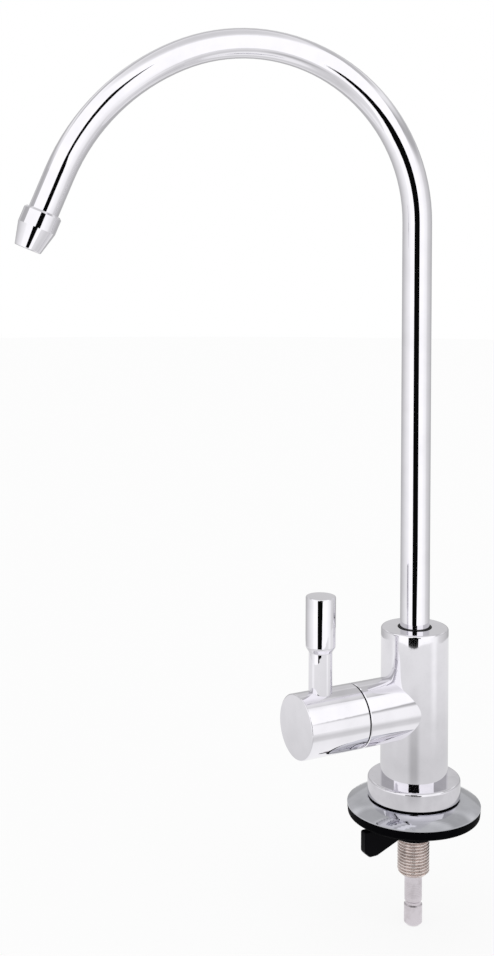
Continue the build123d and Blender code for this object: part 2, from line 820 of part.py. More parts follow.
# Wing nut: a short hub with two deep wings
nut_top = washer_bottom - face_gap
nut_bottom = nut_top - nut_hub_height
wing_foot = nut_top - wing_depth
wing_edge = wing_span / 2
nut_bore = shank_radius + running_gap
nut_radius = nut_bore + nut_wall
wing_direction = (-cos(radians(wing_angle)), -sin(radians(wing_angle)), 0)
wing_side = Vector(*wing_direction).cross(Vector(0, 0, 1))
wing_profile = Plane(origin=(0, 0, 0), x_dir=wing_direction, z_dir=wing_side)
with BuildPart() as wing_nut:
    with BuildSketch(wing_profile) as wing_shape:
        for side in (1, -1):
            with BuildLine():
                Polyline(
                    (side * nut_bore, nut_top),
                    (side * wing_edge, nut_top),
                    (side * wing_edge, nut_top - wing_edge_height),
                    (side * (wing_edge - wing_corner_radius), wing_foot),
                    (side * (wing_edge - wing_toe_width), wing_foot),
                    (side * nut_radius, nut_bottom),
                    (side * nut_bore, nut_bottom),
                    close=True,
                )
            make_face()
        outer_corners = wing_shape.vertices().filter_by(lambda corner: abs(corner.X) > nut_radius)
        corners = outer_corners.filter_by(lambda corner: corner.Y < nut_top - nut_edge_radius)
        fillet(corners, wing_corner_radius)
    extrude(amount=wing_thickness / 2, both=True)
    fillet(wing_nut.edges().filter_by(wing_profile), nut_edge_radius)
    with BuildSketch(Plane.XY.offset(nut_bottom)):
        Circle(nut_radius)
    extrude(amount=nut_hub_height)
    with BuildSketch(Plane.XY.offset(nut_bottom)):
        Circle(nut_bore)
    extrude(amount=nut_hub_height, mode=Mode.SUBTRACT)
wing_nut.part.label = "wing_nut"
export_step(wing_nut.part, "parts/wing_nut.step")
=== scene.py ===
"""Looks of a deck-mounted swan neck filter tap: finishes, thread, turned details, studio and camera."""
import logging
from dataclasses import dataclass
from enum import Enum
from functools import cache
from math import cos, floor, pi, radians, sin, tan
from typing import Any, Callable, Optional, Sequence, Union

import bmesh
import bpy
from mathutils import Matrix, Vector


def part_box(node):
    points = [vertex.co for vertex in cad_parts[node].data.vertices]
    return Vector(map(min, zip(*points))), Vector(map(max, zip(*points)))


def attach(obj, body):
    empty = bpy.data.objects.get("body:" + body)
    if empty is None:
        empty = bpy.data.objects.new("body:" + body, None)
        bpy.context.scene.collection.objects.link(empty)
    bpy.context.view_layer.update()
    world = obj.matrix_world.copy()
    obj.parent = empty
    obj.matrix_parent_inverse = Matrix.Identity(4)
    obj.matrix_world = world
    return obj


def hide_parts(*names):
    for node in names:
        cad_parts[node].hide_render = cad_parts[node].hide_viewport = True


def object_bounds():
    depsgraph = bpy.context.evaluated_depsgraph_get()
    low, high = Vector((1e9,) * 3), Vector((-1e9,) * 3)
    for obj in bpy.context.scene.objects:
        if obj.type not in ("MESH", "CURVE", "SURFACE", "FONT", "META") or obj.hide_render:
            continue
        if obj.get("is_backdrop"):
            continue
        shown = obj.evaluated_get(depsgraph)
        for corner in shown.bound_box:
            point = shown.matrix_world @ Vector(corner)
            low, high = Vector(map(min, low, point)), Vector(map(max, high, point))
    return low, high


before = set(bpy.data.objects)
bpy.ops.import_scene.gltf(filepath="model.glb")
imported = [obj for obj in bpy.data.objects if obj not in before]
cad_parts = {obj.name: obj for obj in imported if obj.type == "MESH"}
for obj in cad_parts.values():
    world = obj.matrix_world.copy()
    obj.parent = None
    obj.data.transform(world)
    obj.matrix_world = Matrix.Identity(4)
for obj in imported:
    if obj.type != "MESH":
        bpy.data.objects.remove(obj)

logging.basicConfig(level=logging.INFO, format="%(message)s")
log = logging.getLogger("tap")

Point = tuple[float, float]
Range = tuple[float, float]
Corner = tuple[float, float, float]
Colour = tuple[float, float, float]
Value = Union["Shade", float]
Paint = Union["Shade", Colour]

MILLIMETRE = 0.001
UPRIGHT = Vector((0.0, 0.0, 1.0))
WHITE: Colour = (1.0, 1.0, 1.0)
BLACK: Colour = (0.0, 0.0, 0.0)


class Carrier(Enum):
    """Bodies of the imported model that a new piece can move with."""

    FAUCET = "faucet"
    SPOUT = "spout"
    HANDLE = "handle"
    WING_NUT = "wing_nut"


class Seen(Enum):
    """Where a piece of the studio shows; the values are the kinds of ray that pass it by."""

    ONLY_IN_METAL = ("visible_camera", "visible_diffuse", "visible_shadow")
    NOT_IN_METAL = ("visible_glossy",)


class Shade:
    """A socket of a shader tree that can stand in a Python expression."""

    def __init__(self, graph: "Graph", socket: bpy.types.NodeSocket) -> None:
        """Wrap a socket.

        Args:
            graph: The graph that the socket belongs to.
            socket: The output socket.
        """
        self.graph = graph
        self.socket = socket

    def _math(self, operation: str, *values: Value) -> "Shade":
        """Add a Math node for an operation on these values."""
        node = self.graph.node("ShaderNodeMath", {"operation": operation}, dict(enumerate(values)))
        return self.graph.out(node)

    def __add__(self, other: Value) -> "Shade":
        """Sum."""
        return self._math("ADD", self, other)

    def __radd__(self, other: Value) -> "Shade":
        """Sum with a number on the left."""
        return self._math("ADD", other, self)

    def __sub__(self, other: Value) -> "Shade":
        """Difference."""
        return self._math("SUBTRACT", self, other)

    def __rsub__(self, other: Value) -> "Shade":
        """Difference with a number on the left."""
        return self._math("SUBTRACT", other, self)

    def __mul__(self, other: Value) -> "Shade":
        """Product."""
        return self._math("MULTIPLY", self, other)

    def __rmul__(self, other: Value) -> "Shade":
        """Product with a number on the left."""
        return self._math("MULTIPLY", other, self)

    def __truediv__(self, other: Value) -> "Shade":
        """Quotient."""
        return self._math("DIVIDE", self, other)

    def __abs__(self) -> "Shade":
        """Absolute value."""
        return self._math("ABSOLUTE", self)

    def sine(self) -> "Shade":
        """Sine of an angle in radians."""
        return self._math("SINE", self)

    def root(self) -> "Shade":
        """Square root."""
        return self._math("SQRT", self)

    def at_least(self, other: Value) -> "Shade":
        """The larger of the two."""
        return self._math("MAXIMUM", self, other)

    def at_most(self, other: Value) -> "Shade":
        """The smaller of the two."""
        return self._math("MINIMUM", self, other)

    def angle(self, other: "Shade") -> "Shade":
        """Angle in degrees whose tangent is this over the other."""
        return self._math("ARCTAN2", self, other) * (180 / pi)

    def ramp(self, stops: Sequence[Point]) -> "Shade":
        """Grey that follows this value.

        Args:
            stops: Pairs of value and brightness, in rising order.

        Returns:
            The grey, as a colour.
        """
        low = stops[0][0]
        span = stops[-1][0] - low
        shares = [((value - low) / span, brightness) for value, brightness in stops]
        node = self.graph.node("ShaderNodeValToRGB", {"stops": shares}, {0: (self - low) / span})
        return self.graph.out(node)

    def curve(self, stops: Sequence[Point]) -> Value:
        """Number that follows this value in straight runs.

        Args:
            stops: Pairs of value and number, in rising order.

        Returns:
            The number, which stays the same before the first pair and after the last.
        """
        result: Value = stops[0][1]
        for (start, first), (end, second) in zip(stops, stops[1:]):
            share = ((self - start) / (end - start)).at_least(0.0).at_most(1.0)
            result = result + share * (second - first)
        return result

    def rise(self, low: float, high: float) -> "Shade":
        """Smooth step.

        Args:
            low: Value up to which the step is zero.
            high: Value from which it is one.

        Returns:
            The step.
        """
        settings = {"interpolation_type": "SMOOTHSTEP", "clamp": True}
        sockets = {"Value": self, 1: low, 2: high, 3: 0.0, 4: 1.0}
        return self.graph.out(self.graph.node("ShaderNodeMapRange", settings, sockets))


@dataclass(frozen=True)
class Noise:
    """A noise pattern: cells per metre, layers of finer cells, and how much each finer layer counts."""

    scale: float
    detail: float
    roughness: float


@dataclass(frozen=True)
class Band:
    """A range with soft ends: it fades in over one stretch of values and out over another."""

    fade_in: Range
    fade_out: Range

    def mask(self, value: Shade) -> Shade:
        """One inside the band, zero outside it."""
        return value.rise(*self.fade_in) * (1.0 - value.rise(*self.fade_out))


class Graph:
    """A node tree, with one method that adds nodes."""

    def __init__(self, tree: bpy.types.NodeTree) -> None:
        """Take a node tree and clear it.

        Args:
            tree: The node tree of a material or world.
        """
        self.tree = tree
        tree.nodes.clear()

    def node(
        self, kind: str, settings: Optional[dict] = None, sockets: Optional[dict] = None
    ) -> bpy.types.Node:
        """Add a node.

        Args:
            kind: Blender's node type.
            settings: Properties of the node, set before its sockets.
            sockets: Socket name or index to a number, colour, vector or Shade.

        Returns:
            The new node.
        """
        made = self.tree.nodes.new(kind)
        for name, value in (settings or {}).items():
            if name == "stops":
                self._set_stops(made.color_ramp, value)
            else:
                setattr(made, name, value)
        for name, value in (sockets or {}).items():
            socket = made.inputs[name]
            if isinstance(value, Shade):
                self.tree.links.new(value.socket, socket)
            elif socket.type == "RGBA":
                socket.default_value = (*value, 1.0)
            else:
                socket.default_value = value
        return made

    @staticmethod
    def _set_stops(ramp: bpy.types.ColorRamp, stops: Sequence[Point]) -> None:
        """Give a ramp its grey stops.

        Args:
            ramp: The ramp.
            stops: Pairs of place and brightness, in rising order.
        """
        while len(ramp.elements) < len(stops):
            ramp.elements.new(1.0)
        for element, (place, brightness) in zip(ramp.elements, stops):
            element.position = place
            element.color = (*grey(brightness), 1.0)

    def out(self, node: bpy.types.Node, name: Union[int, str] = 0) -> Shade:
        """Wrap an output of a node."""
        return Shade(self, node.outputs[name])

    def place(self) -> Shade:
        """Position on the object, in metres in the part's frame."""
        return self.out(self.node("ShaderNodeTexCoord"), "Object")

    def camera_ray(self) -> Shade:
        """One for what the camera sees directly, zero for everything else."""
        return self.out(self.node("ShaderNodeLightPath"), "Is Camera Ray")

    def axes(self, vector: Shade) -> tuple[Shade, Shade, Shade]:
        """Split a vector into its three numbers."""
        node = self.node("ShaderNodeSeparateXYZ", None, {0: vector})
        return self.out(node, 0), self.out(node, 1), self.out(node, 2)

    def vector(self, x: Value, y: Value, z: Value) -> Shade:
        """Join three numbers into a vector."""
        return self.out(self.node("ShaderNodeCombineXYZ", None, {0: x, 1: y, 2: z}))

    def scaled(self, vector: Shade, factors: Sequence[float]) -> Shade:
        """Multiply a vector's numbers by three factors."""
        return self.out(self.node("ShaderNodeVectorMath", {"operation": "MULTIPLY"}, {0: vector, 1: factors}))

    def along(self, vector: Shade, direction: Vector) -> Shade:
        """Dot product of a vector and a fixed direction."""
        node = self.node("ShaderNodeVectorMath", {"operation": "DOT_PRODUCT"}, {0: vector, 1: direction})
        return self.out(node, "Value")

    def noise(self, vector: Shade, noise: Noise) -> Shade:
        """Noise from zero to one."""
        values = {"Scale": noise.scale, "Detail": noise.detail, "Roughness": noise.roughness}
        return self.out(self.node("ShaderNodeTexNoise", None, {"Vector": vector, **values}))

    def mix(self, share: Value, first: Paint, second: Paint) -> Shade:
        """Mix two colours, with this share of the second."""
        node = self.node("ShaderNodeMix", {"data_type": "RGBA"}, {0: share, 6: first, 7: second})
        return self.out(node, 2)

    def bump(self, height: Shade, depth: float) -> Shade:
        """Normal from a height of zero to one, where one stands for this depth in metres."""
        return self.out(self.node("ShaderNodeBump", None, {"Height": height, "Distance": depth}))

    def glow(self, colour: Paint, strength: float) -> Shade:
        """Surface that shines by itself."""
        return self.out(self.node("ShaderNodeEmission", None, {"Color": colour, "Strength": strength}))

    def blend(self, share: Value, first: Shade, second: Shade) -> Shade:
        """Mix two surfaces, with this share of the second."""
        return self.out(self.node("ShaderNodeMixShader", None, {0: share, 1: first, 2: second}))


def grey(brightness: float) -> Colour:
    """Grey of this brightness."""
    return (brightness, brightness, brightness)


@dataclass(frozen=True)
class Finish:
    """A surface finish: its name, and the colour, roughness and metal share that it starts from."""

    name: str
    colour: Colour
    roughness: float
    metallic: float = 1.0

    def darker(self, share: float) -> Colour:
        """This share of the finish's colour."""
        return tuple(share * value for value in self.colour)

    def sockets(self, graph: Graph, place: Shade) -> dict[str, Any]:
        """Sockets of the surface shader that aren't plain colour, roughness or metal.

        Args:
            graph: The material's graph.
            place: Position on the object.

        Returns:
            Socket name to value.
        """
        return {}

    @cache
    def material(self) -> bpy.types.Material:
        """Build the material at the first call, and give the same one again later.

        Returns:
            The Blender material.
        """
        made = bpy.data.materials.new(f"{self.name}_finish")
        made.use_nodes = True
        graph = Graph(made.node_tree)
        values = {"Base Color": self.colour, "Roughness": self.roughness, "Metallic": self.metallic}
        values.update(self.sockets(graph, graph.place()))
        surface = graph.node("ShaderNodeBsdfPrincipled", None, values)
        graph.node("ShaderNodeOutputMaterial", None, {0: graph.out(surface)})
        made.diffuse_color = (*self.colour, 1.0)
        made.metallic = self.metallic
        made.roughness = self.roughness
        return made


@dataclass(frozen=True)
class PolishedChrome(Finish):
    """Bright chrome plate with faint waves, polishing haze and a few dry water marks."""

    wave: Noise = Noise(60.0, 1.0, 0.5)
    wave_depth: float = 4e-6
    cloud: Noise = Noise(95.0, 4.0, 0.6)
    tint_range: Range = (0.35, 0.8)
    tint_share: float = 0.93
    haze_range: Range = (0.4, 0.8)
    haze: float = 0.03
    smear: Noise = Noise(2600.0, 2.0, 0.5)
    smear_roughness: float = 0.006
    mark: Noise = Noise(420.0, 3.0, 0.7)
    mark_range: Range = (0.66, 0.74)
    mark_roughness: float = 0.03

    def sockets(self, graph: Graph, place: Shade) -> dict[str, Any]:
        """Tint, haze, water marks and waves of the plate.

        Args:
            graph: The material's graph.
            place: Position on the object.

        Returns:
            Socket name to value.
        """
        cloud = graph.noise(place, self.cloud)
        smear = graph.noise(place, self.smear)
        mark = graph.noise(place, self.mark).rise(*self.mark_range)
        hazy = self.roughness + self.haze * cloud.rise(*self.haze_range)
        return {
            "Base Color": graph.mix(cloud.rise(*self.tint_range), self.colour, self.darker(self.tint_share)),
            "Roughness": hazy + self.smear_roughness * smear + self.mark_roughness * mark,
            "Normal": graph.bump(graph.noise(place, self.wave), self.wave_depth),
        }


@dataclass(frozen=True)
class TurnedChrome(Finish):
    """Plated metal that keeps the fine rings of its turning about the Z axis."""

    ring: Noise = Noise(5200.0, 2.0, 0.6)
    ring_depth: float = 1.5e-6
    ring_rise: float = 0.4
    ring_haze: float = 0.5
    cloud: Noise = Noise(130.0, 3.0, 0.6)
    tint_range: Range = (0.3, 0.8)
    tint_share: float = 0.86
    haze: float = 0.08

    def sockets(self, graph: Graph, place: Shade) -> dict[str, Any]:
        """Fine rings in height and roughness, with cloudy polish over them.

        Args:
            graph: The material's graph.
            place: Position on the object.

        Returns:
            Socket name to value.
        """
        x, y, z = graph.axes(place)
        radius = (x * x + y * y).root()
        rings = graph.noise(graph.vector(radius, z * self.ring_rise, 0.0), self.ring)
        cloud = graph.noise(place, self.cloud)
        return {
            "Base Color": graph.mix(cloud.rise(*self.tint_range), self.colour, self.darker(self.tint_share)),
            "Roughness": self.roughness + self.haze * cloud + self.ring_haze * self.haze * rings,
            "Normal": graph.bump(rings, self.ring_depth),
        }


@dataclass(frozen=True)
class NickelPlate(Finish):
    """Dull nickel plate, slightly stained, with painted shade in the hollows of a thread and between gripping
    rings.

    A thread is given by the radii of its hollows and crests, and rings by the heights of their foot and top.
    """

    # Colour of the random stains, and of the painted shade in the thread's hollows and between the rings
    stain_and_shade_colour: Colour = (0.5, 0.42, 0.39)
    cloud: Noise = Noise(260.0, 4.0, 0.65)
    cloud_range: Range = (0.45, 0.8)
    cloud_stain: float = 0.5
    cloud_roughness: float = 0.12
    grain: Noise = Noise(7000.0, 2.0, 0.6)
    grain_height: float = 0.1
    thread: Optional[Range] = None
    # Share of painted shade in the thread's hollows
    thread_shade: float = 0.45
    thread_roughness: float = 0.15
    rings: Optional[Range] = None
    ring_pitch: float = 0.6 * MILLIMETRE
    ring_depth: float = 3e-5
    ring_fade: float = 0.3 * MILLIMETRE
    # Share of painted shade between the gripping rings
    ring_shade: float = 0.35

    def ring_hollow(self, height: Shade) -> Value:
        """Hollows between the gripping rings, from zero on a ring to one at the bottom of a hollow.

        Args:
            height: Height on the object.

        Returns:
            The hollows, or zero for a finish without rings.
        """
        if self.rings is None:
            return 0.0
        foot, top = self.rings
        band = Band((foot, foot + self.ring_fade), (top - self.ring_fade, top))
        return ((height * (2 * pi / self.ring_pitch)).sine() * 0.5 + 0.5) * band.mask(height)

    def sockets(self, graph: Graph, place: Shade) -> dict[str, Any]:
        """Stains, painted shade in the hollows, gripping rings and fine grain.

        Args:
            graph: The material's graph.
            place: Position on the object.

        Returns:
            Socket name to value.
        """
        x, y, height = graph.axes(place)
        hollow = 1.0 - (x * x + y * y).root().rise(*self.thread) if self.thread else 0.0
        rings = self.ring_hollow(height)
        cloud = graph.noise(place, self.cloud)
        grain = graph.noise(place, self.grain)
        # Random stains, plus painted shade in the thread's hollows
        stain_and_shade_share = cloud.rise(*self.cloud_range) * self.cloud_stain + hollow * self.thread_shade
        return {
            # Painted shade between the gripping rings darkens the colour further
            "Base Color": graph.mix(stain_and_shade_share + rings * self.ring_shade, self.colour, self.stain_and_shade_colour),
            "Roughness": self.roughness + self.cloud_roughness * cloud + self.thread_roughness * hollow,
            "Normal": graph.bump(grain * self.grain_height - rings, self.ring_depth),
        }


@dataclass(frozen=True)
class Moulded(Finish):
    """Moulded rubber or plastic: faint mould grain, dust and rubbed places."""

    metallic: float = 0.0
    specular: float = 0.12
    grain: Noise = Noise(5200.0, 3.0, 0.6)
    grain_depth: float = 8e-6
    grain_roughness: float = 0.08
    cloud: Noise = Noise(170.0, 4.0, 0.6)
    cloud_roughness: float = 0.12
    dust: Colour = (0.014, 0.014, 0.015)
    dust_range: Range = (0.5, 0.85)
    dust_share: float = 0.5

    def sockets(self, graph: Graph, place: Shade) -> dict[str, Any]:
        """Grain, dust and rubbed places.

        Args:
            graph: The material's graph.
            place: Position on the object.

        Returns:
            Socket name to value.
        """
        grain = graph.noise(place, self.grain)
        cloud = graph.noise(place, self.cloud)
        dusty = cloud.rise(*self.dust_range) * self.dust_share
        return {
            "Base Color": graph.mix(dusty, self.colour, self.dust),
            "Roughness": self.roughness + self.cloud_roughness * cloud - self.grain_roughness * grain,
            "Normal": graph.bump(grain, self.grain_depth),
            "Specular IOR Level": self.specular,
        }


@dataclass(frozen=True)
class MachinedMetal(Finish):
    """Bare machined metal with fine tool marks and slight tarnish."""

    mark: Noise = Noise(4200.0, 2.0, 0.6)
    mark_stretch: tuple[float, float, float] = (1.0, 1.0, 0.35)
    mark_depth: float = 3e-6
    mark_roughness: float = 0.06
    cloud: Noise = Noise(320.0, 4.0, 0.65)
    cloud_roughness: float = 0.15
    tarnish: Colour = (0.4, 0.28, 0.14)
    tarnish_range: Range = (0.4, 0.85)
    tarnish_share: float = 0.55

    def sockets(self, graph: Graph, place: Shade) -> dict[str, Any]:
        """Tool marks and tarnish.

        Args:
            graph: The material's graph.
            place: Position on the object.

        Returns:
            Socket name to value.
        """
        marks = graph.noise(graph.scaled(place, self.mark_stretch), self.mark)
        cloud = graph.noise(place, self.cloud)
        tarnished = cloud.rise(*self.tarnish_range) * self.tarnish_share
        return {
            "Base Color": graph.mix(tarnished, self.colour, self.tarnish),
            "Roughness": self.roughness + self.cloud_roughness * cloud + self.mark_roughness * marks,
            "Normal": graph.bump(marks, self.mark_depth),
        }


@dataclass(frozen=True)
class LappedCeramic(Finish):
    """Off-white ceramic, lapped flat, with a faint speckle."""

    metallic: float = 0.0
    speckle: Noise = Noise(3800.0, 2.0, 0.7)
    speckle_range: Range = (0.55, 0.8)
    speckle_share: float = 0.82
    speckle_depth: float = 1e-6
    speckle_roughness: float = 0.1

    def sockets(self, graph: Graph, place: Shade) -> dict[str, Any]:
        """Speckle and faint unevenness of the lapping.

        Args:
            graph: The material's graph.
            place: Position on the object.

        Returns:
            Socket name to value.
        """
        speckle = graph.noise(place, self.speckle)
        dark = self.darker(self.speckle_share)
        return {
            "Base Color": graph.mix(speckle.rise(*self.speckle_range), self.colour, dark),
            "Roughness": self.roughness + self.speckle_roughness * speckle,
            "Normal": graph.bump(speckle, self.speckle_depth),
        }


CHROME_COLOUR: Colour = (0.875, 0.862, 0.903)
BODY_CHROME = PolishedChrome(
    "body_chrome", CHROME_COLOUR, 0.02, wave=Noise(120.0, 1.0, 0.5), wave_depth=4e-5, haze=0.02
)
TUBE_CHROME = PolishedChrome("tube_chrome", CHROME_COLOUR, 0.012, wave_depth=1e-5, haze=0.01)
HANDLE_CHROME = PolishedChrome(
    "handle_chrome", CHROME_COLOUR, 0.015, wave=Noise(240.0, 1.0, 0.5), wave_depth=2e-5, haze=0.015
)
RING_CHROME = TurnedChrome("satin_chrome", (0.86, 0.845, 0.89), 0.02, ring_depth=0.3e-6, haze=0.03)
PLATE_CHROME = TurnedChrome(
    "plate_chrome", (0.63, 0.635, 0.675), 0.02, ring=Noise(2600.0, 2.0, 0.6), ring_depth=0.2e-6, haze=0.03
)
SHANK_NICKEL = NickelPlate(
    "nickel_shank",
    (0.86, 0.77, 0.74),
    0.22,
    # Colour of the stains and of the painted shade in the thread's hollows
    stain_and_shade_colour=(0.3, 0.25, 0.23),
    thread=(4.95 * MILLIMETRE, 5.5 * MILLIMETRE),
)
STEM_NICKEL = NickelPlate(
    "nickel_stem",
    (0.64, 0.6, 0.635),
    0.24,
    # Colour of the stains and of the painted shade between the gripping rings
    stain_and_shade_colour=(0.42, 0.38, 0.4),
    rings=(-28.8 * MILLIMETRE, -23.2 * MILLIMETRE),
)
BRASS = MachinedMetal("bare_brass", (0.82, 0.62, 0.3), 0.24)
CERAMIC = LappedCeramic("ceramic", (0.86, 0.85, 0.81), 0.18)
RUBBER = Moulded("black_rubber", (0.0012, 0.0012, 0.0018), 0.5, dust=(0.003, 0.003, 0.0035), specular=0.012)
PLASTIC = Moulded("black_plastic", (0.0014, 0.0012, 0.0022), 0.3, dust=(0.004, 0.004, 0.005), specular=0.035)
ZINC = MachinedMetal("zinc_steel", (0.66, 0.66, 0.64), 0.3, tarnish=(0.42, 0.42, 0.4))
SPRING = MachinedMetal("spring_steel", (0.55, 0.55, 0.57), 0.25, tarnish=(0.36, 0.35, 0.34))


def dress(finish: Finish, *nodes: str) -> None:
    """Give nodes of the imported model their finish.

    Args:
        finish: The finish for all their faces.
        nodes: The nodes' names.
    """
    for node in nodes:
        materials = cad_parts[node].data.materials
        materials.clear()
        materials.append(finish.material())
        log.info("%s: %s", node, finish.name)


def lathe(
    name: str,
    outline: Callable[[float], list[Point]],
    columns: int,
    centre: Point = (0.0, 0.0),
    weld: float = 1e-7,
) -> bpy.types.Object:
    """Turn an outline about an upright axis; the outline may change with the angle, as a thread's does.

    Args:
        name: Name of the new object.
        outline: Function from an angle to a closed outline of (radius, height), as long at every angle.
        columns: Steps round the axis.
        centre: Where the axis stands.
        weld: Points nearer than this become one.

    Returns:
        The new mesh object.
    """
    turns = [2 * pi * step / columns for step in range(columns)]
    rings = [outline(turn) for turn in turns]
    rows = len(rings[0])
    points = [
        (centre[0] + radius * cos(turn), centre[1] + radius * sin(turn), height)
        for turn, ring in zip(turns, rings)
        for radius, height in ring
    ]
    faces = []
    for step in range(columns):
        here = step * rows
        beside = (step + 1) % columns * rows
        for row in range(rows):
            above = (row + 1) % rows
            if rings[step][row][0] > 0.0 or rings[step][above][0] > 0.0:
                faces.append((here + row, beside + row, beside + above, here + above))
    mesh = bpy.data.meshes.new(name)
    mesh.from_pydata(points, [], faces)
    shape = bmesh.new()
    shape.from_mesh(mesh)
    bmesh.ops.remove_doubles(shape, verts=shape.verts, dist=weld)
    loose = [point for point in shape.verts if not point.link_faces]
    bmesh.ops.delete(shape, geom=loose, context="VERTS")
    bmesh.ops.recalc_face_normals(shape, faces=shape.faces)
    shape.to_mesh(mesh)
    shape.free()
    made = bpy.data.objects.new(name, mesh)
    bpy.context.scene.collection.objects.link(made)
    return made


def brace(outline: list[Vector], long_run: float = 0.5, inset: float = 0.05) -> list[Vector]:
    """Add a point near each end of an outline's long straight runs, which keeps their shading straight.

    Args:
        outline: Points of a closed outline, in millimetres.
        long_run: Runs longer than this get the points.
        inset: How far from the run's end each point lies.

    Returns:
        The outline with the added points.
    """
    result = []
    for point, following in zip(outline, outline[1:] + outline[:1]):
        result.append(point)
        run = following - point
        if run.length > long_run:
            result += [point + run.normalized() * inset, following - run.normalized() * inset]
    return result


def rounded(corners: Sequence[Corner], braced: bool = True, steps: int = 5) -> list[Point]:
    """Closed outline with rounded corners.

    Args:
        corners: Corners as (across, up, radius), in millimetres.
        braced: Whether long straight runs get a point near each end.
        steps: Straight runs in each rounded corner.

    Returns:
        The outline's points, in metres.
    """
    result = []
    for index, (across, up, radius) in enumerate(corners):
        here = Vector((across, up))
        if radius == 0.0:
            result.append(here)
            continue
        before = (Vector(corners[index - 1][:2]) - here).normalized()
        after = (Vector(corners[(index + 1) % len(corners)][:2]) - here).normalized()
        half = before.angle(after) / 2
        middle = here + (before + after).normalized() * (radius / sin(half))
        start = here + before * (radius / tan(half)) - middle
        end = here + after * (radius / tan(half)) - middle
        for step in range(steps + 1):
            result.append(middle + start.lerp(end, step / steps).normalized() * radius)
    if braced:
        result = brace(result)
    return [(point.x * MILLIMETRE, point.y * MILLIMETRE) for point in result]


def ring_section(radii: Range, heights: Range, foot_edge: float = 0.0, top_edge: float = 0.0) -> list[Point]:
    """Outline of the cut through a plain ring.

    Args:
        radii: Inner and outer radius, in millimetres.
        heights: Height of foot and top, in millimetres.
        foot_edge: Radius of the two edges at the foot.
        top_edge: Radius of the two edges at the top.

    Returns:
        The outline's points, in metres.
    """
    inner, outer = radii
    foot, top = heights
    lower = ((inner, foot, foot_edge), (outer, foot, foot_edge))
    upper = ((outer, top, top_edge), (inner, top, top_edge))
    return rounded((*lower, *upper))


def bow(start: Point, middle: Point, end: Point, steps: int = 10) -> list[Corner]:
    """Corners on the parabola through three points, for rounded().

    Args:
        start: First point.
        middle: Point half way.
        end: Last point.
        steps: Straight runs.

    Returns:
        The corners, with no radius.
    """
    result = []
    for step in range(steps + 1):
        share = step / steps
        weights = ((1 - share) * (1 - 2 * share), 4 * share * (1 - share), share * (2 * share - 1))
        across = sum(weight * point[0] for weight, point in zip(weights, (start, middle, end)))
        up = sum(weight * point[1] for weight, point in zip(weights, (start, middle, end)))
        result.append((across, up, 0.0))
    return result


def fit(
    piece: bpy.types.Object, body: Carrier, finish: Finish, node: str, smooth_angle: float = 40.0
) -> None:
    """Give a new piece its finish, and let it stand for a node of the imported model.

    Args:
        piece: The new piece.
        body: The body that it moves with.
        finish: Its finish.
        node: The node that it replaces.
        smooth_angle: The sharpest edge that is shaded smooth, in degrees.
    """
    piece.data.shade_smooth()
    piece.data.set_sharp_from_angle(angle=radians(smooth_angle))
    piece.data.materials.append(finish.material())
    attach(piece, body.value)
    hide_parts(node)
    log.info("%s: %s, for %s", piece.name, finish.name, node)


@dataclass
class Spout:
    """Tube, nozzle, spigot and the bush at the tube's foot, in millimetres."""

    bush_inner: float = 5.17
    bush_rise: float = 0.15
    bush_edge: float = 0.1
    columns: int = 96

    def build_bush(self) -> None:
        """Build the thin black ring round the tube's foot."""
        low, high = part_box("spout_bush")
        _, body_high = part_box("faucet_body")
        radii = (self.bush_inner, high.x / MILLIMETRE)
        heights = (low.z / MILLIMETRE, body_high.z / MILLIMETRE + self.bush_rise)
        ring = ring_section(radii, heights, top_edge=self.bush_edge)
        fit(lathe("thin_bush", lambda _: ring, self.columns), Carrier.SPOUT, PLASTIC, "spout_bush")

    def build(self) -> None:
        """Build the bush and dress the spout's pieces."""
        self.build_bush()
        dress(TUBE_CHROME, "spout_tube", "spout_tip")
        dress(BRASS, "spout_spigot")
        dress(SPRING, "spout_retainer")
        dress(RUBBER, "spigot_o_ring_lower", "spigot_o_ring_upper")


